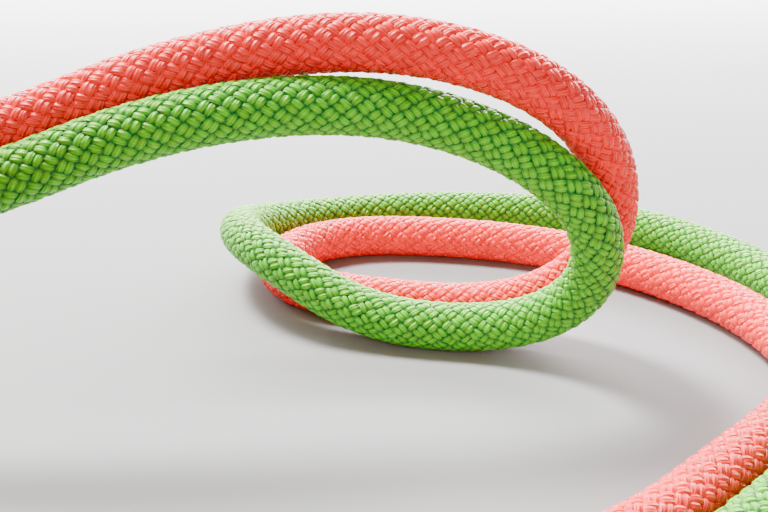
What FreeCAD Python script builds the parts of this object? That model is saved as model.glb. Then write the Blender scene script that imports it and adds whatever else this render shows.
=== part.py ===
"""Pair of dynamic half ropes, one green and one red, laid in an open loop.

Each rope is a braided sheath over a core of parallel strands. Both leave a strapped stack of
two round coils side by side, arch over, make one turn on the ground and end in closed sleeves.
Millimetres, +Z up. The origin is under the middle of the whole, on the surface it lies on.
"""

import FreeCAD
import Part
import math
import os

V = FreeCAD.Vector
UP = V(0, 0, 1)

# Rope
ROPE_D = 8.5
SHEATH_WALL = 1.1
CORE_STRANDS_ROUND_MIDDLE = 6
STRAND_D = 1.95
STRAND_PITCH_R = 2.02

# Routes of the free stretches, after they leave the coils: corner points, to the tails
LIE_Z = ROPE_D / 2 + 0.05
GREEN_ROUTE = [
    (39.5, 84, 31.5),
    (67.5, 83, 38),
    (95, 88.5, 48),
    (121.5, 94.5, 49.5),
    (143.5, 98, 43),
    (158, 100, 31),
    (160, 108.5, 15),
    (148, 116, 4.5),
    (123.5, 120, LIE_Z),
    (105.5, 129, 12.6),
    (96.5, 145, 13),
    (98, 162.5, 8.5),
    (111.5, 179, 4.8),
    (135.5, 186, LIE_Z),
    (162.5, 184, LIE_Z),
    (185.5, 171.5, LIE_Z),
    (200, 147.5, LIE_Z),
    (207, 118, LIE_Z),
    (204, 90, LIE_Z),
    (186, 72.5, LIE_Z),
    (162.5, 47.8, LIE_Z),
    (138, 28, 5),
    (106, 18.5, 5),
]
RED_ROUTE = [
    (40.5, 88, 40),
    (68.5, 90.5, 44),
    (95.5, 96, 54),
    (122, 97.5, 58),
    (145, 96.5, 53.5),
    (159.5, 104, 41),
    (163.5, 113.5, 23.5),
    (157.5, 121, 10.5),
    (143.5, 126, LIE_Z),
    (124, 130, LIE_Z),
    (109, 136.5, LIE_Z),
    (103, 149, LIE_Z),
    (108.5, 161.5, LIE_Z),
    (121, 167.5, LIE_Z),
    (137.5, 166.5, LIE_Z),
    (157.5, 161, LIE_Z),
    (176.5, 147.5, LIE_Z),
    (190.5, 127, LIE_Z),
    (195, 105, LIE_Z),
    (187.5, 87, LIE_Z),
    (171.5, 70, LIE_Z),
    (155.5, 53.5, LIE_Z),
    (129, 38, 5),
    (99, 30, 5),
]

# Coils: one per rope, the red on the green, wound in flat layers
COIL_CENTRE = V(-59.8, -29.5, 0)
TURN_PITCH = 8.6
COLUMNS = 13
LAYERS = 4
INNER_TURN_R = 43.0
COIL_EDGE_R = 4.2
COIL_INNER_R = INNER_TURN_R - TURN_PITCH / 2
COIL_OUTER_R = INNER_TURN_R + (COLUMNS - 0.5) * TURN_PITCH
COIL_HEIGHT = LAYERS * TURN_PITCH

# Straps: two loops of webbing round the stack, each with a slide buckle. They cross in the
# coils' hole, above and below, and the second steps over the first there.
STRAP_WIDTH = 20.0
STRAP_THICK = 1.2
STRAP_ANGLES = {"first_strap": 25.0, "second_strap": 115.0}
STRAP_TAIL = 44.0
CROSSING_FLAT = 12.0
CROSSING_RAMP = 5.0
BUCKLE_LENGTH = 24.0
BUCKLE_WIDTH = 27.0
BUCKLE_THICK = 3.0
BUCKLE_SLOT = (6.0, 21.4)
BUCKLE_BAR = 4.0
BUCKLE_EDGE_R = 0.8
BUCKLE_AT = 88.0
STACK_BOTTOM = STRAP_THICK
STACK_TOP = STACK_BOTTOM + 2 * COIL_HEIGHT

# End sleeves, shrunk over the cut ends
SLEEVE_WALL = 0.6
SLEEVE_LENGTH = 18.0
SLEEVE_END_WALL = 1.6
SLEEVE_EDGE_R = 1.0
SLEEVE_R = ROPE_D / 2 + SLEEVE_WALL

# Where a rope leaves its coil: the outermost turn of the layer next to the other coil
EXIT_ANGLE = math.radians(60.0)
EXIT_R = INNER_TURN_R + (COLUMNS - 1) * TURN_PITCH
EXIT_Z = {
    "green": STACK_BOTTOM + COIL_HEIGHT - TURN_PITCH / 2,
    "red": STACK_BOTTOM + COIL_HEIGHT + TURN_PITCH / 2,
}

# First ends of the ropes: a short arc beside the green coil and on top of the red one
FIRST_END_ANGLE = 247.0
STUB_SWEEP = 25.0
STUB_R = {"green": COIL_OUTER_R + SLEEVE_R + 0.05, "red": COIL_OUTER_R - SLEEVE_R}
STUB_Z = {"green": SLEEVE_R + 0.05, "red": STACK_TOP + SLEEVE_R + 0.05}


def save(shape, node):
    """Write one sub-part, after a check that it is one sound solid."""
    if not shape.isValid() or len(shape.Solids) != 1:
        raise ValueError(f"{node}: valid {shape.isValid()}, {len(shape.Solids)} solids")
    shape.Solids[0].exportStep(f"parts/{node}.step")


def turned(vector, axis, radians):
    return FreeCAD.Rotation(axis, math.degrees(radians)).multVec(vector)


class Route:
    """Straight runs joined by tangent arcs, from a list of corner points."""

    def __init__(self, points):
        self.pieces = []
        self.radii = []
        here = points[0]
        for before, corner, after in zip(points, points[1:], points[2:]):
            into = (corner - before).normalize()
            out = (after - corner).normalize()
            half_turn = into.getAngle(out) / 2
            trim = 0.45 * min((corner - before).Length, (after - corner).Length)
            radius = trim / math.tan(half_turn)
            axis = into.cross(out).normalize()
            start = corner - into * trim
            self.pieces.append(("line", here, start, None, 0.0))
            centre = start + axis.cross(into) * radius
            self.pieces.append(("arc", start, centre, axis, 2 * half_turn))
            self.radii.append(radius)
            here = corner + out * trim
        self.pieces.append(("line", here, points[-1], None, 0.0))
        self.start_direction = (points[1] - points[0]).normalize()
        self.end_direction = (points[-1] - points[-2]).normalize()
        self.end = points[-1]

    def length(self):
        return sum(edge.Length for edge in self.wire(V(0, 0, 0)).Edges)

    def wire(self, offset):
        """The route as a wire, shifted by an offset that turns with it."""
        edges = []
        for kind, start, other, axis, angle in self.pieces:
            if kind == "line":
                edges.append(Part.LineSegment(start + offset, other + offset).toShape())
                continue
            arm = start + offset - other
            middle = other + turned(arm, axis, angle / 2)
            end = other + turned(arm, axis, angle)
            edges.append(Part.Arc(start + offset, middle, end).toShape())
            offset = turned(offset, axis, angle)
        return Part.Wire(edges)


def swept(route, offset, radius):
    """A round bar along the route."""
    ring = Part.Circle(route.pieces[0][1] + offset, route.start_direction, radius)
    profile = Part.Wire([ring.toShape()])
    return route.wire(offset).makePipeShell([profile], True, False)


def sheath(route):
    """The braided sheath's tube, open at both ends."""
    middle = V(0, 0, 0)
    outer = swept(route, middle, ROPE_D / 2)
    bore = swept(route, middle, ROPE_D / 2 - SHEATH_WALL)
    return outer.cut(bore)


def core_strands(route):
    """The strands inside the sheath: one in the middle and a ring of them round it."""
    side = route.start_direction.cross(UP).normalize()
    yield swept(route, V(0, 0, 0), STRAND_D / 2)
    for k in range(CORE_STRANDS_ROUND_MIDDLE):
        angle = 2 * math.pi * k / CORE_STRANDS_ROUND_MIDDLE
        offset = turned(side * STRAND_PITCH_R, route.start_direction, angle)
        yield swept(route, offset, STRAND_D / 2)


def tail_sleeve(route):
    """A closed cap over a rope's tail end."""
    start = route.end - route.end_direction * (SLEEVE_LENGTH - SLEEVE_END_WALL)
    outside = Part.makeCylinder(SLEEVE_R, SLEEVE_LENGTH, start, route.end_direction)
    far_rim = [e for e in outside.Edges if rim_at(e, start + route.end_direction * SLEEVE_LENGTH)]
    outside = outside.makeFillet(SLEEVE_EDGE_R, far_rim)
    bore_length = SLEEVE_LENGTH - SLEEVE_END_WALL
    bore = Part.makeCylinder(ROPE_D / 2, bore_length, start, route.end_direction)
    return outside.cut(bore)


def rim_at(edge, centre):
    """Whether an edge is a circle about that centre."""
    curve = edge.Curve
    return isinstance(curve, Part.Circle) and (curve.Center - centre).Length < 0.01


def arc_bar(radius, z, bar_r, start_angle, sweep_angle):
    """A round bar bent about the coils' axis, from start_angle on, in degrees."""
    bar = Part.makeTorus(radius, bar_r, V(0, 0, 0), UP, -180, 180, sweep_angle)
    bar.rotate(V(0, 0, 0), UP, start_angle)
    bar.translate(COIL_CENTRE + V(0, 0, z))
    return bar


def first_end(colour):
    """The short first end of a rope outside its coil, as a plain bar."""
    return arc_bar(STUB_R[colour], STUB_Z[colour], ROPE_D / 2, FIRST_END_ANGLE, STUB_SWEEP)


def first_end_sleeve(colour):
    """A closed cap over a rope's first end, bent as the rope is."""
    radius = STUB_R[colour]
    z = STUB_Z[colour]
    sleeve_sweep = math.degrees(SLEEVE_LENGTH / radius)
    wall_sweep = math.degrees(SLEEVE_END_WALL / radius)
    start = FIRST_END_ANGLE + STUB_SWEEP + wall_sweep - sleeve_sweep
    outside = arc_bar(radius, z, SLEEVE_R, start, sleeve_sweep)
    bore = arc_bar(radius, z, ROPE_D / 2, start, sleeve_sweep - wall_sweep)
    return outside.cut(bore)


def coil(bottom):
    """The outer shape of one coil: a thick ring with rounded edges."""
    at = COIL_CENTRE + V(0, 0, bottom)
    ring = Part.makeCylinder(COIL_OUTER_R, COIL_HEIGHT, at, UP)
    ring = ring.cut(Part.makeCylinder(COIL_INNER_R, COIL_HEIGHT, at, UP))
    rims = [e for e in ring.Edges if isinstance(e.Curve, Part.Circle)]
    return ring.makeFillet(COIL_EDGE_R, rims)


def rounded_loop(half_length, bottom, top, corner_r):
    """A rectangle with rounded corners in the XZ plane, about x = 0."""
    corners = [
        V(-half_length, 0, bottom),
        V(half_length, 0, bottom),
        V(half_length, 0, top),
        V(-half_length, 0, top),
    ]
    edges = []
    for k, corner in enumerate(corners):
        into = (corner - corners[k - 1]).normalize()
        out = (corners[(k + 1) % 4] - corner).normalize()
        start = corner - into * corner_r
        end = corner + out * corner_r
        middle = corner + (out - into) * corner_r * (1 - math.sqrt(0.5))
        leave = corners[(k + 1) % 4] - out * corner_r
        edges.append(Part.Arc(start, middle, end).toShape())
        edges.append(Part.LineSegment(end, leave).toShape())
    return Part.Wire(edges)


def set_on_stack(shape, angle):
    """Turn a shape made along +X to a strap's angle and move it over the coils."""
    shape.rotate(V(0, 0, 0), UP, angle)
    shape.translate(COIL_CENTRE)
    return shape


def crossing(run_bottom):
    """The part of a strap's run that steps over the other strap."""
    far = CROSSING_FLAT + CROSSING_RAMP
    side = -STRAP_WIDTH / 2
    low = run_bottom
    middle = low + STRAP_THICK
    high = middle + STRAP_THICK
    corners = [
        V(-far, side, middle),
        V(-CROSSING_FLAT, side, high),
        V(CROSSING_FLAT, side, high),
        V(far, side, middle),
        V(far, side, low),
        V(CROSSING_FLAT, side, middle),
        V(-CROSSING_FLAT, side, middle),
        V(-far, side, low),
    ]
    face = Part.Face(Part.makePolygon(corners + corners[:1]))
    return face.extrude(V(0, STRAP_WIDTH, 0))


def strap(steps_over, angle):
    """A loop of webbing round the whole stack, with its loose tail past the buckle."""
    side = -STRAP_WIDTH / 2
    inner = rounded_loop(COIL_OUTER_R, STACK_BOTTOM, STACK_TOP, COIL_EDGE_R)
    outer = rounded_loop(
        COIL_OUTER_R + STRAP_THICK,
        STACK_BOTTOM - STRAP_THICK,
        STACK_TOP + STRAP_THICK,
        COIL_EDGE_R + STRAP_THICK,
    )
    across = V(0, STRAP_WIDTH, 0)
    loop = Part.Face(outer).extrude(across).cut(Part.Face(inner).extrude(across))
    loop.translate(V(0, side, 0))
    if steps_over:
        far = CROSSING_FLAT + CROSSING_RAMP
        for run_bottom in (STACK_BOTTOM - STRAP_THICK, STACK_TOP):
            flat = Part.makeBox(2 * far, STRAP_WIDTH, STRAP_THICK, V(-far, side, run_bottom))
            loop = loop.cut(flat).fuse(crossing(run_bottom))
    tail_start = V(BUCKLE_AT + BUCKLE_LENGTH / 2, side, STACK_TOP + STRAP_THICK)
    tail = Part.makeBox(STRAP_TAIL, STRAP_WIDTH, STRAP_THICK, tail_start)
    return set_on_stack(loop.fuse(tail).removeSplitter(), angle)


def buckle(angle):
    """A three-bar slide buckle on a strap's top run."""
    bottom = STACK_TOP + STRAP_THICK
    frame = Part.makeBox(
        BUCKLE_LENGTH,
        BUCKLE_WIDTH,
        BUCKLE_THICK,
        V(BUCKLE_AT - BUCKLE_LENGTH / 2, -BUCKLE_WIDTH / 2, bottom),
    )
    frame = frame.makeFillet(BUCKLE_EDGE_R, frame.Edges)
    slot_length, slot_width = BUCKLE_SLOT
    for side in (-1, 1):
        middle = BUCKLE_AT + side * (BUCKLE_BAR + slot_length) / 2
        slot = Part.makeBox(
            slot_length,
            slot_width,
            BUCKLE_THICK,
            V(middle - slot_length / 2, -slot_width / 2, bottom),
        )
        frame = frame.cut(slot)
    return set_on_stack(frame, angle)


def exit_point(colour):
    """The middle of a rope where it leaves its coil."""
    across = V(math.cos(EXIT_ANGLE), math.sin(EXIT_ANGLE), 0)
    return COIL_CENTRE + across * EXIT_R + V(0, 0, EXIT_Z[colour])


def rope(colour, corner_points, coil_bottom):
    """All the pieces of one rope."""
    route = Route([exit_point(colour)] + [V(*point) for point in corner_points])
    tube = sheath(route)
    section = math.pi * ((ROPE_D / 2) ** 2 - (ROPE_D / 2 - SHEATH_WALL) ** 2)
    print(f"{colour}: free stretch {route.length():.1f} mm")
    print(f"{colour}: arc radii {[round(radius) for radius in route.radii]}")
    print(f"{colour}: sheath volume / (section x length) {tube.Volume / section / route.length():.4f}")
    save(tube, f"{colour}_sheath")
    for number, strand in enumerate(core_strands(route), start=1):
        save(strand, f"{colour}_core_strand_{number}")
    save(tail_sleeve(route), f"{colour}_tail_sleeve")
    save(coil(coil_bottom), f"{colour}_coil")
    save(first_end(colour), f"{colour}_first_end")
    save(first_end_sleeve(colour), f"{colour}_first_end_sleeve")


os.makedirs("parts", exist_ok=True)
rope("green", GREEN_ROUTE, STACK_BOTTOM)
rope("red", RED_ROUTE, STACK_BOTTOM + COIL_HEIGHT)
for name, angle in STRAP_ANGLES.items():
    save(strap(name == "second_strap", angle), name)
    save(buckle(angle), name.replace("strap", "buckle"))
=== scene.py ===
"""Looks of the pair of climbing ropes: camera, cords, braid, end sleeves, straps and light.

Metres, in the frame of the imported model. Each rope is one cord from its first end, through its
coil, to its tail. Where it lies free it is braided from real yarns; in its coil the same braid
is drawn in the surface.
"""

import math

import bmesh
import bpy
import numpy as np
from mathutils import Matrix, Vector


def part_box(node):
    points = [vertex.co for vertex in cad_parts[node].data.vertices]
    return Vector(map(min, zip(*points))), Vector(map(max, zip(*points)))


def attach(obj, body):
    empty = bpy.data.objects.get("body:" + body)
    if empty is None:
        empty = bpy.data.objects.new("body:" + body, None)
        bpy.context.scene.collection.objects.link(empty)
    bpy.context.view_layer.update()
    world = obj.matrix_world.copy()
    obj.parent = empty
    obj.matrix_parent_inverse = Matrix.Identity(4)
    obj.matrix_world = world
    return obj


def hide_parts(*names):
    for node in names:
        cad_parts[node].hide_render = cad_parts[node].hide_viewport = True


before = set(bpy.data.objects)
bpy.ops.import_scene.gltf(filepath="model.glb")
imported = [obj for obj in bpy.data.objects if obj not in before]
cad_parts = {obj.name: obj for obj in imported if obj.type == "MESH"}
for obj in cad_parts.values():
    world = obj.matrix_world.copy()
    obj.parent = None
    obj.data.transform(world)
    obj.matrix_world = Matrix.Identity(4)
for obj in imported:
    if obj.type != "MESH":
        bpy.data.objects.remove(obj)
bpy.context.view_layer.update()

MM = 0.001

# Rope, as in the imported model
ROPE_D = 8.5 * MM
LIE_Z = 4.3
COLOURS = ("green", "red")

# Routes of the free stretches in millimetres: the model's corner points, used as control points
# More than half of them come from a least-squares fit, rounded; the others were moved
ROUTES = {
    "green": [
        (39.5, 84, 31.5),
        (67.5, 83, 38),
        (95, 88.5, 48),
        (121.5, 94.5, 49.5),
        (143.5, 98, 43),
        (158, 100, 31),
        (160, 108.5, 15),
        (148, 116, 4.5),
        (123.5, 120, LIE_Z),
        (105.5, 129, 12.6),
        (96.5, 145, 13),
        (98, 162.5, 8.5),
        (111.5, 179, 4.8),
        (135.5, 186, LIE_Z),
        (162.5, 184, LIE_Z),
        (185.5, 171.5, LIE_Z),
        (200, 147.5, LIE_Z),
        (207, 118, LIE_Z),
        (204, 90, LIE_Z),
        (186, 72.5, LIE_Z),
        (162.5, 47.8, LIE_Z),
        (138, 28, 5),
        (106, 18.5, 5),
    ],
    "red": [
        (40.5, 88, 40),
        (68.5, 90.5, 44),
        (95.5, 96, 54),
        (122, 97.5, 58),
        (145, 96.5, 53.5),
        (159.5, 104, 41),
        (163.5, 113.5, 23.5),
        (157.5, 121, 10.5),
        (143.5, 126, LIE_Z),
        (124, 130, LIE_Z),
        (109, 136.5, LIE_Z),
        (103, 149, LIE_Z),
        (108.5, 161.5, LIE_Z),
        (121, 167.5, LIE_Z),
        (137.5, 166.5, LIE_Z),
        (157.5, 161, LIE_Z),
        (176.5, 147.5, LIE_Z),
        (190.5, 127, LIE_Z),
        (195, 105, LIE_Z),
        (187.5, 87, LIE_Z),
        (171.5, 70, LIE_Z),
        (155.5, 53.5, LIE_Z),
        (129, 38, 5),
        (99, 30, 5),
    ],
}

# Coils: turns run clockwise seen from above, from the first end to where the rope leaves
TURN_PITCH = 8.6
COLUMNS = 13
LAYERS = 4
INNER_TURN_R = 43.0
OUTER_TURN_R = INNER_TURN_R + (COLUMNS - 1) * TURN_PITCH
CLIMB_TURNS = 0.474
POINTS_PER_TURN = 16
STUB_START_ANGLE = 272.0
STUB_END_ANGLE = 247.0
FIRST_TURN_ANGLE = 212.0
LEAD_POINTS = 5

# Braid: bundles of two yarns, one over and one under, as many of either twist
BUNDLES = 10
YARNS_PER_BUNDLE = 2
BUNDLES_PER_PIECE = 2
LAY = 3.9 * ROPE_D
YARN_HALF_WIDTH = 0.58 * MM
YARN_HALF_HEIGHT = 0.34 * MM
WAVE = 0.42 * MM
YARN_MIDDLE_R = ROPE_D / 2 - YARN_HALF_HEIGHT - WAVE
BED_R = 3.05 * MM
COIL_TUBE_R = 4.15 * MM
BRAID_LEAD = 40 * MM
BRAID_FADE = 8 * MM
WAVE_SHARPNESS = 1.7
YARN_SWELL = 0.06
SAMPLES_PER_WAVE = 8
YARN_SIDES = 8
TUBE_SIDES = 14

# Small unevenness of the yarns: across in bundle widths, up and down, and of a yarn's width.
# It is a sum of three waves, each with its reach, its phase from yarn to yarn and its share.
WANDER_ACROSS = 0.035
WANDER_HEIGHT = 0.04 * MM
WANDER_WIDTH = 0.03
WANDER_WAVES = ((23 * MM, 2.39, 0.5), (9.1 * MM, 4.11, 0.35), (4.3 * MM, 1.37, 0.25))
OTHER_TWIST_NUMBER = 50
HEIGHT_NUMBER = 7
WIDTH_NUMBER = 13

# Steps along the rope: of its line, of its mesh and of a path of points along it
LINE_RESOLUTION = 40
COIL_MESH_STEP = 6 * MM
FREE_MESH_STEP = 1.5 * MM
COIL_PATH_STEP = 9 * MM
FREE_PATH_STEP = 2 * MM

# Straps and buckles in millimetres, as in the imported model
STRAP_WIDTH = 20.0
STRAP_THICK = 1.2
STRAP_SIDES = 40
STRAP_ANGLES = {"first": 25.0, "second": 115.0}
FACE_POWER = 0.7
SIDE_POWER = 0.25
EDGE_POWER = 6
EDGE_SWELL = 0.14
CROSSING_FLAT = 12.0
CROSSING_END = 17.0
COIL_EDGE_R = 4.2
COIL_OUTER_R = OUTER_TURN_R + TURN_PITCH / 2
STACK_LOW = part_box("green_coil")[0][2] / MM
STACK_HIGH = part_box("red_coil")[1][2] / MM
BUCKLE_AT = 88.0
BUCKLE_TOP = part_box("first_buckle")[1][2] / MM
RIB_PITCH = 1.3
PICK_PITCH = 1.1

# Light and floor, in metres and watts
MIDDLE = (0.13, 0.11, 0.02)
KEY_AT = (-0.16, 0.34, 0.66)
FILL_TINT = (1.0, 1.0, 0.86)
WORLD_LIGHT = 0.26
SUN_STRENGTH = 4.5
SUN_ANGLE = 12
FLOOR_HALF = 30.0
FLOOR_COLOUR = (0.27, 0.27, 0.27, 1)


def node_middle(*nodes):
    """The middle of the box round some CAD nodes."""
    boxes = [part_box(node) for node in nodes]
    low = Vector([min(box[0][k] for box in boxes) for k in range(3)])
    high = Vector([max(box[1][k] for box in boxes) for k in range(3)])
    return (low + high) / 2


# ---------------------------------------------------------------- camera

CAMERA_AT = (0.1255, -0.0595, 0.082)
CAMERA_PITCH_DOWN = 20.0
LENS = 51.9

camera_data = bpy.data.cameras.new("camera")
camera_data.sensor_width = 36.0
camera_data.lens = LENS
camera_data.clip_start = 0.01
camera = bpy.data.objects.new("camera", camera_data)
camera.location = CAMERA_AT
camera.rotation_euler = (math.radians(90 - CAMERA_PITCH_DOWN), 0, 0)
bpy.context.scene.collection.objects.link(camera)
bpy.context.scene.camera = camera


# ---------------------------------------------------------------- cords

coil_middle = node_middle("green_coil", "red_coil") / MM


def layer_heights(colour):
    """Heights of a coil's first layer and the step to the next, in millimetres."""
    low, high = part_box(f"{colour}_coil")
    if colour == "green":
        return low[2] / MM + TURN_PITCH / 2, TURN_PITCH
    return high[2] / MM - TURN_PITCH / 2, -TURN_PITCH


def turn_place(turns, first_z, step):
    """Radius and height in the coil after so many turns."""
    layer_turns = COLUMNS - 1
    span = layer_turns + CLIMB_TURNS
    layer = min(int(turns / span), LAYERS - 1)
    within = turns - layer * span
    across = min(within / layer_turns, 1.0)
    climb = max(0.0, (within - layer_turns) / CLIMB_TURNS) if layer < LAYERS - 1 else 0.0
    if layer % 2:
        across = 1 - across
    radius = OUTER_TURN_R - across * (OUTER_TURN_R - INNER_TURN_R)
    return radius, first_z + step * (layer + smooth(climb))


def smooth(x):
    """From 0 to 1 with level ends."""
    x = min(max(x, 0.0), 1.0)
    return x * x * (3 - 2 * x)


def winding(colour):
    """Control points of the first end and the coil, in millimetres."""
    low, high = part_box(f"{colour}_first_end")
    stub_z = (low[2] + high[2]) / 2 / MM
    first_z, step = layer_heights(colour)
    stub_r = coil_middle.y - low[1] / MM - ROPE_D / MM / 2
    bulge = 1 / math.cos(math.pi / POINTS_PER_TURN)
    places = []
    for k in range(LEAD_POINTS):
        part = k / LEAD_POINTS
        angle = STUB_START_ANGLE + (FIRST_TURN_ANGLE - STUB_START_ANGLE) * part
        blend = smooth((STUB_END_ANGLE - angle) / (STUB_END_ANGLE - FIRST_TURN_ANGLE))
        radius = stub_r + (OUTER_TURN_R - stub_r) * blend
        places.append((angle, radius, stub_z + (first_z - stub_z) * blend))
    turns = LAYERS * (COLUMNS - 1) + (LAYERS - 1) * CLIMB_TURNS
    steps = round(turns * POINTS_PER_TURN)
    for k in range(steps + 1):
        done = turns * k / steps
        radius, z = turn_place(done, first_z, step)
        places.append((FIRST_TURN_ANGLE - 360 * done, radius, z))
    points = []
    for k, (angle, radius, z) in enumerate(places):
        # the line starts on its first point and runs inside all the others
        reach = radius * bulge if k else radius
        x = coil_middle.x + reach * math.cos(math.radians(angle))
        y = coil_middle.y + reach * math.sin(math.radians(angle))
        points.append((x, y, z))
    return points


def spline_points(name, points):
    """Points along the NURBS line through that run of control points, in metres."""
    curve = bpy.data.curves.new(name, "CURVE")
    curve.dimensions = "3D"
    curve.resolution_u = LINE_RESOLUTION
    spline = curve.splines.new("NURBS")
    spline.points.add(len(points) - 1)
    for at, point in zip(spline.points, points):
        at.co = (point[0] * MM, point[1] * MM, point[2] * MM, 1)
    spline.order_u = 3
    spline.use_endpoint_u = True
    holder = bpy.data.objects.new(name, curve)
    bpy.context.scene.collection.objects.link(holder)
    bpy.context.view_layer.update()
    line = bpy.data.meshes.new_from_object(holder)
    found = np.zeros(len(line.vertices) * 3)
    line.vertices.foreach_get("co", found)
    bpy.data.objects.remove(holder)
    return found.reshape(-1, 3)


class Line:
    """A smooth line with a frame that goes along it without twisting."""

    def __init__(self, points):
        steps = np.linalg.norm(np.diff(points, axis=0), axis=1)
        keep = np.concatenate([[True], steps > 1e-7])
        self.points = points[keep]
        steps = np.linalg.norm(np.diff(self.points, axis=0), axis=1)
        self.at = np.concatenate([[0.0], np.cumsum(steps)])
        self.length = self.at[-1]
        along = np.gradient(self.points, self.at, axis=0)
        self.along = along / np.linalg.norm(along, axis=1)[:, None]
        side = np.cross(self.along[0], (0, 0, 1))
        side /= np.linalg.norm(side)
        sides = [side]
        for direction in self.along[1:]:
            side = side - direction * np.dot(side, direction)
            side = side / math.sqrt(np.dot(side, side))
            sides.append(side)
        self.side = np.array(sides)

    def frames(self, distances):
        """Points and two crossways directions at those distances along."""
        point = np.stack([np.interp(distances, self.at, c) for c in self.points.T], axis=-1)
        along = np.stack([np.interp(distances, self.at, c) for c in self.along.T], axis=-1)
        side = np.stack([np.interp(distances, self.at, c) for c in self.side.T], axis=-1)
        side /= np.linalg.norm(side, axis=-1)[..., None]
        other = np.cross(along, side)
        other /= np.linalg.norm(other, axis=-1)[..., None]
        return point, side, other


def tube_mesh(name, rings, along, heights=None):
    """A mesh of tubes with closed ends, from rings of points: (tubes, rings, sides, 3).

    Its UVs are the way along, and the share of the way round plus the tube's number.
    """
    tubes, count, sides, _ = rings.shape
    index = np.arange(tubes * count * sides).reshape(tubes, count, sides)
    beside = np.roll(index, -1, axis=2)
    quads = np.stack([index[:, :-1], beside[:, :-1], beside[:, 1:], index[:, 1:]], axis=-1)
    ends = np.stack([index[:, 0, ::-1], index[:, -1]], axis=1)
    mesh = bpy.data.meshes.new(name)
    mesh.vertices.add(index.size)
    mesh.vertices.foreach_set("co", rings.ravel())
    mesh.loops.add(quads.size + ends.size)
    mesh.loops.foreach_set("vertex_index", np.concatenate([quads.ravel(), ends.ravel()]))
    quad_starts = np.arange(0, quads.size, 4)
    end_starts = quads.size + np.arange(0, ends.size, sides)
    mesh.polygons.add(len(quad_starts) + len(end_starts))
    mesh.polygons.foreach_set("loop_start", np.concatenate([quad_starts, end_starts]))
    number = np.arange(tubes)[:, None, None]
    low = np.broadcast_to(number + np.arange(sides) / sides, quads.shape[:3])
    back = np.broadcast_to(along[None, :-1, None], quads.shape[:3])
    ahead = np.broadcast_to(along[None, 1:, None], quads.shape[:3])
    u = np.stack([back, back, ahead, ahead], axis=-1)
    v = np.stack([low, low + 1 / sides, low + 1 / sides, low], axis=-1)
    end_u = np.broadcast_to(along[[0, -1]][None, :, None], ends.shape)
    end_v = np.broadcast_to(number + np.arange(sides) / sides, ends.shape)
    u = np.concatenate([u.ravel(), end_u.ravel()])
    v = np.concatenate([v.ravel(), end_v.ravel()])
    layer = mesh.uv_layers.new(name="round")
    layer.data.foreach_set("uv", np.stack([u, v], axis=-1).astype(np.float32).ravel())
    if heights is not None:
        raised = mesh.attributes.new("raised", "FLOAT", "POINT")
        raised.data.foreach_set("value", heights.astype(np.float32).ravel())
    mesh.update(calc_edges=True)
    mesh.shade_smooth()
    return mesh


def add_piece(name, mesh, slot, *materials):
    """A piece of the visual model from a mesh, riding the part's one body."""
    piece = bpy.data.objects.new(name, mesh)
    bpy.context.scene.collection.objects.link(piece)
    for material in materials:
        mesh.materials.append(material)
    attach(piece, "root")
    return piece


def rope_tube(name, line, exit_at):
    """The cord itself: the whole rope in its coil, and the bed under the yarns past it."""
    braid_from = exit_at - BRAID_LEAD
    coiled = np.arange(0, braid_from, COIL_MESH_STEP)
    free = np.arange(braid_from, line.length, FREE_MESH_STEP)
    distances = np.concatenate([coiled, free, [line.length]])
    share = np.clip((distances - braid_from) / BRAID_FADE, 0, 1)
    radius = COIL_TUBE_R + (BED_R - COIL_TUBE_R) * share
    point, side, other = line.frames(distances)
    angles = 2 * np.pi * np.arange(TUBE_SIDES) / TUBE_SIDES
    out = side[:, None] * np.cos(angles)[:, None] + other[:, None] * np.sin(angles)[:, None]
    rings = point[:, None] + out * radius[:, None, None]
    mesh = tube_mesh(name, rings[None], distances / LAY)
    bed = (distances[:-1] >= braid_from + BRAID_FADE / 2).repeat(TUBE_SIDES)
    # the first end's cap has the braid, the tail's cap has the bed
    mesh.polygons.foreach_set("material_index", np.append(bed, [False, True]).astype(np.int32))
    return mesh


def wander(distances, number, size):
    """A slow wander of about that size, different for each yarn and the same in each run."""
    total = 0
    for reach, phase, share in WANDER_WAVES:
        total = total + share * np.sin(distances / reach + number * phase)
    return size * total


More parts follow.
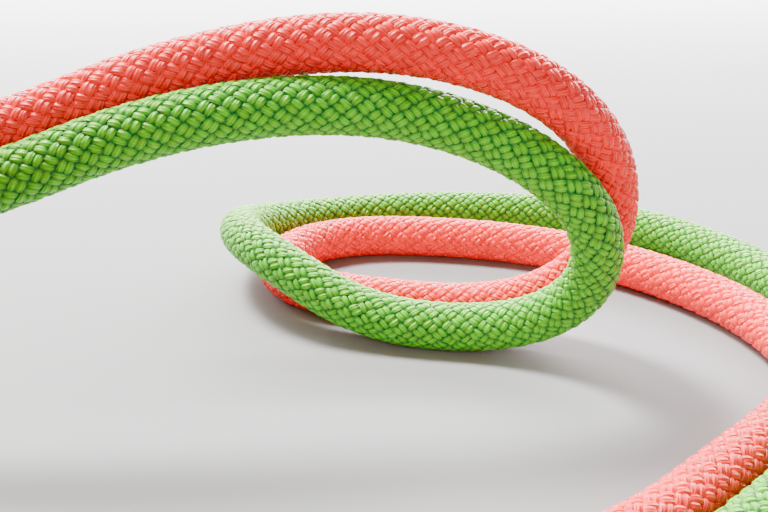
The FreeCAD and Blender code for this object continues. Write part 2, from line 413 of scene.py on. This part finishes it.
def yarn_mesh(name, line, start, twist, bundles):
    """The yarns of some bundles of one twist, +1 or -1, over and under those of the other."""
    step = LAY / (2 * BUNDLES) * 2 / SAMPLES_PER_WAVE
    distances = np.arange(start, line.length, step)
    point, side, other = line.frames(distances)
    turn = distances / LAY
    rising = np.clip((distances - start) / BRAID_FADE, 0, 1)
    angles = 2 * np.pi * np.arange(YARN_SIDES) / YARN_SIDES
    rings = []
    heights = []
    for bundle in bundles:
        for yarn in range(YARNS_PER_BUNDLE):
            number = bundle * YARNS_PER_BUNDLE + yarn
            if twist < 0:
                number += OTHER_TWIST_NUMBER
            across = bundle + (yarn + 0.5) / YARNS_PER_BUNDLE
            across = across + wander(distances, number, WANDER_ACROSS)
            azimuth = 2 * np.pi * (across / BUNDLES + twist * turn)
            crossing = across + twist * 2 * BUNDLES * turn
            rise = twist * np.cos(np.pi * (crossing - 0.5 - bundle))
            wave = np.tanh(WAVE_SHARPNESS * rise) / math.tanh(WAVE_SHARPNESS)
            lift = wave * WAVE + wander(distances, number + HEIGHT_NUMBER, WANDER_HEIGHT)
            radius = YARN_MIDDLE_R + lift - (1 - rising) * 2 * WAVE
            out = side * np.cos(azimuth)[:, None] + other * np.sin(azimuth)[:, None]
            middle = point + out * radius[:, None]
            along = np.gradient(middle, axis=0)
            along /= np.linalg.norm(along, axis=1)[:, None]
            wide = np.cross(out, along)
            wide /= np.linalg.norm(wide, axis=1)[:, None]
            high = np.cross(along, wide)
            swell = 1 + YARN_SWELL * wave + wander(distances, number + WIDTH_NUMBER, WANDER_WIDTH)
            half_width = np.cos(angles)[:, None] * YARN_HALF_WIDTH
            half_height = np.sin(angles)[:, None] * YARN_HALF_HEIGHT
            ring = (
                middle[:, None]
                + wide[:, None] * half_width * swell[:, None, None]
                + high[:, None] * half_height
            )
            rings.append(ring)
            # how raised the yarn is, from under to over; the yarn material paints shade from it
            heights.append(np.repeat(rise * 0.5 + 0.5, YARN_SIDES))
    return tube_mesh(name, np.array(rings), distances / MM, np.array(heights))


# ---------------------------------------------------------------- materials


class Nodes:
    """Short ways to add shader nodes to one material."""

    def __init__(self, name):
        self.material = bpy.data.materials.new(name)
        self.material.use_nodes = True
        self.tree = self.material.node_tree
        self.shader = self.tree.nodes["Principled BSDF"]

    def add(self, kind, **values):
        node = self.tree.nodes.new(kind)
        for key, value in values.items():
            setattr(node, key, value)
        return node

    def join(self, out, into):
        self.tree.links.new(out, into)

    def feed(self, socket, value):
        """Set a socket to a number or colour, or join another node's output to it."""
        if isinstance(value, (int, float)):
            socket.default_value = value
        elif isinstance(value, tuple):
            socket.default_value = (*value, 1)
        else:
            self.join(value, socket)

    def math(self, operation, *inputs):
        node = self.add("ShaderNodeMath", operation=operation)
        for socket, value in zip(node.inputs, inputs):
            self.feed(socket, value)
        return node.outputs[0]

    def noise(self, vector, scale, detail=3.0):
        node = self.add("ShaderNodeTexNoise")
        node.inputs["Scale"].default_value = scale
        node.inputs["Detail"].default_value = detail
        self.join(vector, node.inputs["Vector"])
        return node.outputs["Fac"]

    def ramp(self, factor, *stops):
        node = self.add("ShaderNodeValToRGB")
        elements = node.color_ramp.elements
        while len(elements) < len(stops):
            elements.new(0.5)
        for element, (place, colour) in zip(elements, stops):
            element.position = place
            element.color = (*colour, 1)
        self.join(factor, node.inputs["Fac"])
        return node.outputs["Color"]

    def mix(self, factor, first, second, blend="MIX"):
        node = self.add("ShaderNodeMix", data_type="RGBA", blend_type=blend)
        sockets = (node.inputs[0], node.inputs[6], node.inputs[7])
        for socket, value in zip(sockets, (factor, first, second)):
            self.feed(socket, value)
        return node.outputs[2]

    def combine(self, x, y, z=0.0):
        node = self.add("ShaderNodeCombineXYZ")
        for socket, value in zip(node.inputs, (x, y, z)):
            self.feed(socket, value)
        return node.outputs[0]

    def uv(self):
        node = self.add("ShaderNodeUVMap", uv_map="round")
        split = self.add("ShaderNodeSeparateXYZ")
        self.join(node.outputs[0], split.inputs[0])
        return split.outputs[0], split.outputs[1]

    def place(self):
        return self.add("ShaderNodeTexCoord").outputs["Object"]

    def bump(self, height, distance, strength=1.0, under=None):
        node = self.add("ShaderNodeBump")
        node.inputs["Distance"].default_value = distance
        node.inputs["Strength"].default_value = strength
        self.join(height, node.inputs["Height"])
        if under is not None:
            self.join(under, node.inputs["Normal"])
        return node.outputs[0]

    def set(self, **values):
        for key, value in values.items():
            self.shader.inputs[key.replace("_", " ")].default_value = value


# Nylon tones with light painted in: deep and middle are painted shade for the braid's gaps and the
# yarns' flanks, top is the crowns' colour as a painted highlight; glint tints the real sheen and
# specular
NYLON = {
    "green": {
        "deep_painted_shade": (0.0, 0.014, 0.008),
        "middle": (0.0, 0.18, 0.040),
        "top": (0.10, 0.62, 0.004),
        "glint": (0.95, 1.0, 0.10, 1),
        "depths": (0.15, 0.62, 0.98),
    },
    "red": {
        "deep_painted_shade": (0.30, 0.0, 0.0),
        "middle": (0.96, 0.001, 0.003),
        "top": (1.0, 0.016, 0.014),
        "glint": (1.0, 0.70, 0.66, 1),
        "depths": (0.05, 0.50, 0.95),
    },
}


def painted_shading_stops(colour):
    """Stops of the colour ramp from the bottom of the braid to its crowns: painted shade low down, a
    painted highlight on the crowns.
    """
    tones = NYLON[colour]
    return zip(tones["depths"], (tones["deep_painted_shade"], tones["middle"], tones["top"]))


def finish_nylon(nodes, colour, roughness, specular):
    """The shine of dyed nylon, in the rope's own tint."""
    nodes.join(roughness, nodes.shader.inputs["Roughness"])
    nodes.set(Sheen_Weight=0.03, Sheen_Roughness=0.35, Specular_IOR_Level=specular, IOR=1.54)
    nodes.shader.inputs["Sheen Tint"].default_value = NYLON[colour]["glint"]
    nodes.shader.inputs["Specular Tint"].default_value = NYLON[colour]["glint"]


def yarn_material(colour):
    """Bright nylon yarn: twisted filaments, with painted shade where the yarn dives under and on its
    flanks, and a painted highlight on its crown.
    """
    nodes = Nodes(f"{colour}_yarn")
    along, around = nodes.uv()
    raised = nodes.add("ShaderNodeAttribute", attribute_name="raised").outputs["Fac"]
    place = nodes.place()
    # painted light: the crown of the yarn is painted palest, as a highlight, and its flanks darker,
    # as shade
    painted_crown_light = nodes.math("SINE", nodes.math("MULTIPLY", around, 2 * math.pi))
    painted_crown_light = nodes.math("MULTIPLY_ADD", painted_crown_light, 0.42, 0.58)
    painted_shading = nodes.math("MULTIPLY", raised, painted_crown_light)
    painted_light_tone = nodes.ramp(painted_shading, *painted_shading_stops(colour))
    number = nodes.math("FLOOR", around)
    random = nodes.add("ShaderNodeTexWhiteNoise", noise_dimensions="1D")
    nodes.join(number, random.inputs["W"])
    shade = nodes.math("MULTIPLY_ADD", random.outputs["Value"], 0.16, 0.86)
    patches = nodes.noise(place, 260.0, 2.0)
    shade = nodes.math("MULTIPLY", shade, nodes.math("MULTIPLY_ADD", patches, 0.3, 0.87))
    # filaments: fine ridges that wind round the yarn
    twisted = nodes.math("MULTIPLY_ADD", along, 0.35, nodes.math("MULTIPLY", around, 7.0))
    ridge = nodes.math("SINE", nodes.math("MULTIPLY", twisted, 2 * math.pi))
    fine = nodes.noise(nodes.combine(nodes.math("MULTIPLY", along, 0.6),
                                     nodes.math("MULTIPLY", twisted, 3.0)), 1.0, 3.0)
    height = nodes.math("MULTIPLY_ADD", ridge, 0.35, fine)
    # painted shade: the colour is darker in the filaments' grooves, following their bump
    filament_groove_shade = nodes.math("MULTIPLY_ADD", height, 0.45, 0.78)
    grey = nodes.math("MULTIPLY", shade, filament_groove_shade)
    scale = nodes.combine(grey, grey, grey)
    nodes.join(nodes.mix(1.0, painted_light_tone, scale, "MULTIPLY"), nodes.shader.inputs["Base Color"])
    nodes.join(nodes.bump(height, 0.09 * MM, 1.0), nodes.shader.inputs["Normal"])
    finish_nylon(nodes, colour, nodes.math("MULTIPLY_ADD", fine, 0.2, 0.32), 0.6)
    return nodes.material


def braid_material(colour):
    """The same braid drawn in a plain tube's surface, for the rope in its coil, with painted shade
    in its gaps and a painted highlight on its crowns.
    """
    nodes = Nodes(f"{colour}_braid")
    along, around = nodes.uv()
    ahead = nodes.math("MULTIPLY", nodes.math("SUBTRACT", around, along), BUNDLES)
    back = nodes.math("MULTIPLY", nodes.math("ADD", around, along), BUNDLES)
    parity = nodes.math("ADD", nodes.math("FLOOR", ahead), nodes.math("FLOOR", back))
    odd = nodes.math("MULTIPLY", nodes.math("FRACT", nodes.math("MULTIPLY", parity, 0.5)), 2.0)
    first = nodes.math("FRACT", ahead)
    second = nodes.math("FRACT", back)
    even = nodes.math("SUBTRACT", 1.0, odd)
    across = nodes.math("ADD", nodes.math("MULTIPLY", first, even),
                        nodes.math("MULTIPLY", second, odd))
    lengthways = nodes.math("ADD", nodes.math("MULTIPLY", second, even),
                            nodes.math("MULTIPLY", first, odd))
    yarns = nodes.math("ABSOLUTE", nodes.math("SINE", nodes.math("MULTIPLY", across, 2 * math.pi)))
    yarns = nodes.math("POWER", yarns, 0.7)
    dome = nodes.math("SINE", nodes.math("MULTIPLY", lengthways, math.pi))
    dome = nodes.math("POWER", dome, 0.9)
    height = nodes.math("MULTIPLY", dome, nodes.math("MULTIPLY_ADD", yarns, 0.42, 0.58))
    # painted light: the tone is darker where the drawn braid is low, as shade, and lightest on its
    # crowns
    painted_light_tone = nodes.ramp(height, *painted_shading_stops(colour))
    place = nodes.place()
    patches = nodes.noise(place, 180.0, 3.0)
    grey = nodes.math("MULTIPLY_ADD", patches, 0.35, 0.80)
    scale = nodes.combine(grey, grey, grey)
    nodes.join(nodes.mix(1.0, painted_light_tone, scale, "MULTIPLY"), nodes.shader.inputs["Base Color"])
    nodes.join(nodes.bump(height, 0.9 * MM, 0.9), nodes.shader.inputs["Normal"])
    finish_nylon(nodes, colour, nodes.math("MULTIPLY_ADD", patches, 0.2, 0.45), 0.25)
    return nodes.material


def painted_shade_bed_material(colour):
    """What shows between the yarns: the inside of the braid, painted dark as shade."""
    tones = NYLON[colour]
    nodes = Nodes(f"{colour}_bed")
    patches = nodes.noise(nodes.place(), 900.0, 2.0)
    # painted shade: patches between the deep tone and half of it
    darker_painted_shade = tuple(0.5 * c for c in tones["deep_painted_shade"])
    nodes.join(nodes.ramp(patches, (0.3, darker_painted_shade), (0.7, tones["deep_painted_shade"])),
               nodes.shader.inputs["Base Color"])
    nodes.set(Roughness=0.8)
    return nodes.material


def sleeve_material():
    """Shrunk tube: satin, with the braid under it showing faintly."""
    nodes = Nodes("shrunk_sleeve")
    place = nodes.place()
    broad = nodes.noise(place, 420.0, 2.0)
    fine = nodes.noise(place, 2600.0, 3.0)
    nodes.join(nodes.ramp(broad, (0.3, (0.012, 0.012, 0.013)), (0.7, (0.030, 0.030, 0.033))),
               nodes.shader.inputs["Base Color"])
    under = nodes.bump(broad, 0.35 * MM, 0.8)
    nodes.join(nodes.bump(fine, 0.04 * MM, 0.6, under), nodes.shader.inputs["Normal"])
    nodes.join(nodes.math("MULTIPLY_ADD", fine, 0.2, 0.34), nodes.shader.inputs["Roughness"])
    nodes.set(Specular_IOR_Level=0.45)
    return nodes.material


def buckle_material():
    """Moulded nylon: dark, satin, finely grained."""
    nodes = Nodes("moulded_buckle")
    place = nodes.place()
    grain = nodes.noise(place, 3200.0, 3.0)
    worn = nodes.noise(place, 150.0, 3.0)
    nodes.join(nodes.ramp(worn, (0.3, (0.020, 0.021, 0.023)), (0.75, (0.042, 0.043, 0.046))),
               nodes.shader.inputs["Base Color"])
    nodes.join(nodes.bump(grain, 0.05 * MM, 0.5), nodes.shader.inputs["Normal"])
    nodes.join(nodes.math("MULTIPLY_ADD", worn, 0.25, 0.28), nodes.shader.inputs["Roughness"])
    return nodes.material


def core_material():
    """Undyed twisted nylon."""
    nodes = Nodes("core_strand")
    place = nodes.place()
    lustre = nodes.noise(place, 1500.0, 3.0)
    nodes.join(nodes.ramp(lustre, (0.3, (0.66, 0.64, 0.58)), (0.7, (0.86, 0.85, 0.80))),
               nodes.shader.inputs["Base Color"])
    nodes.join(nodes.bump(lustre, 0.10 * MM, 0.8), nodes.shader.inputs["Normal"])
    nodes.set(Roughness=0.45, Sheen_Weight=0.3)
    return nodes.material


def webbing_material():
    """Woven webbing: ribs along it, drawn by its UVs in millimetres along and across."""
    nodes = Nodes("webbing")
    along, across = nodes.uv()
    rib = nodes.math("SINE", nodes.math("MULTIPLY", across, 2 * math.pi / RIB_PITCH))
    pick = nodes.math("SINE", nodes.math("MULTIPLY_ADD", along, 2 * math.pi / PICK_PITCH,
                                         nodes.math("MULTIPLY", rib, 1.2)))
    height = nodes.math("MULTIPLY_ADD", pick, 0.5, rib)
    place = nodes.place()
    patches = nodes.noise(place, 300.0, 3.0)
    # the colour is painted a little darker in the weave's grooves, as shade, over random patches
    shade = nodes.math("MULTIPLY_ADD", height, 0.10, patches)
    nodes.join(nodes.ramp(shade, (0.25, (0.006, 0.006, 0.007)), (0.8, (0.026, 0.027, 0.030))),
               nodes.shader.inputs["Base Color"])
    nodes.join(nodes.bump(height, 0.18 * MM, 0.9), nodes.shader.inputs["Normal"])
    nodes.set(Roughness=0.7, Sheen_Weight=0.03, Sheen_Roughness=0.4, Specular_IOR_Level=0.25)
    return nodes.material


# ---------------------------------------------------------------- ropes

for colour in COLOURS:
    coil_points = winding(colour)
    points = coil_points + ROUTES[colour]
    line = Line(spline_points(f"{colour}_line", points))
    # the exit is the line's point nearest to the coil's last control point
    last = np.array(coil_points[-1]) * MM
    exit_index = int(np.argmin(np.linalg.norm(line.points - last, axis=1)))
    exit_at = line.at[exit_index]
    start = exit_at - BRAID_LEAD
    yarn = yarn_material(colour)
    slot = f"{colour}_sheath_nylon"
    for label, twist in (("s", 1), ("z", -1)):
        for first in range(0, BUNDLES, BUNDLES_PER_PIECE):
            name = f"{colour}_yarns_{label}{first // BUNDLES_PER_PIECE + 1}"
            bundles = range(first, first + BUNDLES_PER_PIECE)
            mesh = yarn_mesh(name, line, start, twist, bundles)
            add_piece(name, mesh, slot, yarn)
    tube = rope_tube(f"{colour}_rope", line, exit_at)
    rope = add_piece(f"{colour}_rope", tube, slot, braid_material(colour), painted_shade_bed_material(colour))
    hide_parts(f"{colour}_sheath", f"{colour}_coil", f"{colour}_first_end")
    path_steps = np.concatenate([
        np.arange(0, exit_at, COIL_PATH_STEP),
        np.arange(exit_at, line.length, FREE_PATH_STEP),
        [line.length],
    ])
    line.frames(path_steps)[0]
    print(f"{colour}: rope {line.length:.2f} m, free stretch {line.length - exit_at:.3f} m")

# ---------------------------------------------------------------- straps, buckles, sleeves


def signed_power(values, power):
    """Values raised to a power, each with its own sign."""
    return np.sign(values) * np.abs(values) ** power


def webbing_piece(name, run, angle, closed, material):
    """A flat strap along a run of (out, up) points, in millimetres from the coils' axis."""
    line = spread_evenly(np.array(run, float))
    ahead = np.gradient(line, axis=0)
    if closed:
        ahead[0] = ahead[-1] = line[1] - line[-2]
    ahead /= np.linalg.norm(ahead, axis=1)[:, None]
    turn = math.radians(angle)
    out = np.array([math.cos(turn), math.sin(turn), 0.0])
    wide = np.array([-math.sin(turn), math.cos(turn), 0.0])
    up = np.array([0.0, 0.0, 1.0])
    base = np.array([coil_middle.x, coil_middle.y, 0.0])
    middle = base + line[:, :1] * out + line[:, 1:] * up
    normal = -ahead[:, 1:] * out + ahead[:, :1] * up
    angles = 2 * np.pi * np.arange(STRAP_SIDES) / STRAP_SIDES
    # a superellipse: flat faces, with rounded and slightly thicker edges
    over = signed_power(np.cos(angles), FACE_POWER)
    thick = signed_power(np.sin(angles), SIDE_POWER)
    thick = thick * (1 - EDGE_SWELL + EDGE_SWELL * np.abs(over) ** EDGE_POWER)
    rings = (
        middle[:, None]
        + wide * (over * STRAP_WIDTH / 2)[None, :, None]
        + normal[:, None] * (thick * STRAP_THICK / 2)[None, :, None]
    )
    along = np.concatenate([[0], np.cumsum(np.linalg.norm(np.diff(line, axis=0), axis=1))])
    mesh = tube_mesh(name, rings[None] * MM, along)
    # across the webbing in millimetres, the same on both faces
    layer = mesh.uv_layers["round"]
    uv = np.zeros(len(layer.data) * 2, np.float32)
    layer.data.foreach_get("uv", uv)
    uv = uv.reshape(-1, 2)
    share = 2 * np.pi * uv[:, 1]
    uv[:, 1] = signed_power(np.cos(share), FACE_POWER) * STRAP_WIDTH / 2
    layer.data.foreach_set("uv", uv.ravel())
    if closed:
        join_loop(mesh)
    return add_piece(name, mesh, "webbing", material)


def spread_evenly(run, step=1.0):
    """The same polyline with points about a millimetre apart."""
    lengths = np.linalg.norm(np.diff(run, axis=0), axis=1)
    at = np.concatenate([[0], np.cumsum(lengths)])
    places = np.linspace(0, at[-1], max(2, round(at[-1] / step)) + 1)
    return np.stack([np.interp(places, at, run[:, 0]), np.interp(places, at, run[:, 1])], axis=1)


def join_loop(mesh):
    """Weld the last ring of a closed run onto its first, without the caps between them."""
    shape = bmesh.new()
    shape.from_mesh(mesh)
    caps = [face for face in shape.faces if len(face.verts) > 4]
    bmesh.ops.delete(shape, geom=caps, context="FACES_ONLY")
    bmesh.ops.remove_doubles(shape, verts=shape.verts, dist=0.001 * MM)
    shape.to_mesh(mesh)
    shape.free()


def corner(x, z, from_angle, radius, steps=8):
    """Points round a quarter turn about (x, z), anticlockwise."""
    angles = [math.radians(from_angle + 90 * k / steps) for k in range(steps + 1)]
    return [(x + radius * math.cos(a), z + radius * math.sin(a)) for a in angles]


def strap_loop(lift):
    """A strap's closed run round the stack; lift is how high it steps over the other."""
    far = COIL_OUTER_R + STRAP_THICK / 2
    low = STACK_LOW - STRAP_THICK / 2
    high = STACK_HIGH + STRAP_THICK / 2
    radius = COIL_EDGE_R + STRAP_THICK / 2
    edge = far - radius
    crossing = ((-CROSSING_END, 0), (-CROSSING_FLAT, lift), (CROSSING_FLAT, lift), (CROSSING_END, 0))
    bottom = [(out, low + up) for out, up in crossing]
    top = [(-out, high + up) for out, up in crossing]
    return (
        bottom
        + corner(edge, low + radius, -90, radius)
        + corner(edge, high - radius, 0, radius)
        + top
        + corner(-edge, high - radius, 90, radius)
        + corner(-edge, low + radius, 180, radius)
        + bottom[:1]
    )


def strap_end():
    """The loose end: up through the buckle, over its bars, then flat on the strap."""
    over = BUCKLE_TOP + STRAP_THICK / 2
    on_strap = STACK_HIGH + 1.5 * STRAP_THICK
    return [
        (BUCKLE_AT - 6.0, on_strap + 0.1),
        (BUCKLE_AT - 4.0, on_strap + 1.4),
        (BUCKLE_AT - 2.3, over - 0.5),
        (BUCKLE_AT - 1.0, over),
        (BUCKLE_AT + 1.0, over),
        (BUCKLE_AT + 2.5, over - 0.6),
        (BUCKLE_AT + 5.0, over - 1.6),
        (BUCKLE_AT + 7.6, over - 0.6),
        (BUCKLE_AT + 9.2, over),
        (BUCKLE_AT + 11.0, over),
        (BUCKLE_AT + 13.0, over - 0.5),
        (BUCKLE_AT + 17.0, on_strap + 1.2),
        (BUCKLE_AT + 22.0, on_strap + 0.2),
        (BUCKLE_AT + 27.0, on_strap),
        (BUCKLE_AT + 56.0, on_strap),
    ]


webbing = webbing_material()
buckle = buckle_material()
sleeve = sleeve_material()
core = core_material()
for order, angle in STRAP_ANGLES.items():
    lift = STRAP_THICK if order == "second" else 0.0
    strap = webbing_piece(f"{order}_webbing", strap_loop(lift), angle, True, webbing)
    webbing_piece(f"{order}_webbing_end", strap_end(), angle, False, webbing)
    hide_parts(f"{order}_strap")

cad_finishes = {"_buckle": buckle, "_sleeve": sleeve}
for node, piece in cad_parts.items():
    material = core if "core_strand" in node else None
    for ending, finish in cad_finishes.items():
        if node.endswith(ending):
            material = finish
    if material:
        piece.data.materials.clear()
        piece.data.materials.append(material)

# ---------------------------------------------------------------- light and floor

world = bpy.data.worlds.new("studio")
world.use_nodes = True
background = world.node_tree.nodes["Background"]
background.inputs[0].default_value = (1, 1, 1, 1)
background.inputs[1].default_value = WORLD_LIGHT
bpy.context.scene.world = world


def area_light(name, at, aim, size, watts, tint=(1, 1, 1)):
    """A rectangular light of that width and height, turned towards a point."""
    data = bpy.data.lights.new(name, "AREA")
    data.shape = "RECTANGLE"
    data.size, data.size_y = size
    data.energy = watts
    data.color = tint
    light = bpy.data.objects.new(name, data)
    light.location = at
    light.rotation_euler = (Vector(aim) - Vector(at)).to_track_quat("-Z", "Y").to_euler()
    bpy.context.scene.collection.objects.link(light)


area_light("floor_wash", (0.13, 0.68, 0.26), (0.13, 0.64, 0.0), (1.8, 0.12), 58.0)
area_light("back", (0.20, 0.95, 0.55), MIDDLE, (0.9, 0.3), 13.5)
area_light("key", KEY_AT, MIDDLE, (0.25, 0.25), 17.0)
area_light("fill", (-0.12, -0.46, 0.40), (0.07, 0.09, 0.04), (0.4, 0.3), 2.2, FILL_TINT)
area_light("low_fill", (0.30, -0.28, 0.15), (-0.02, 0.08, 0.04), (0.2, 0.2), 0.65, FILL_TINT)

sun_data = bpy.data.lights.new("sun", "SUN")
sun_data.energy = SUN_STRENGTH
sun_data.angle = math.radians(SUN_ANGLE)
sun = bpy.data.objects.new("sun", sun_data)
sun.rotation_euler = (Vector(MIDDLE) - Vector(KEY_AT)).to_track_quat("-Z", "Y").to_euler()
bpy.context.scene.collection.objects.link(sun)

floor_mesh = bpy.data.meshes.new("floor")
corner_signs = ((-1, -1), (1, -1), (1, 1), (-1, 1))
floor_corners = [(x * FLOOR_HALF, y * FLOOR_HALF, 0) for x, y in corner_signs]
floor_mesh.from_pydata(floor_corners, [], [(0, 1, 2, 3)])
floor = bpy.data.objects.new("floor", floor_mesh)
bpy.context.scene.collection.objects.link(floor)
floor_nodes = Nodes("floor")
floor_nodes.set(Base_Color=FLOOR_COLOUR, Roughness=0.9)
floor_mesh.materials.append(floor_nodes.material)

bpy.context.view_layer.update()
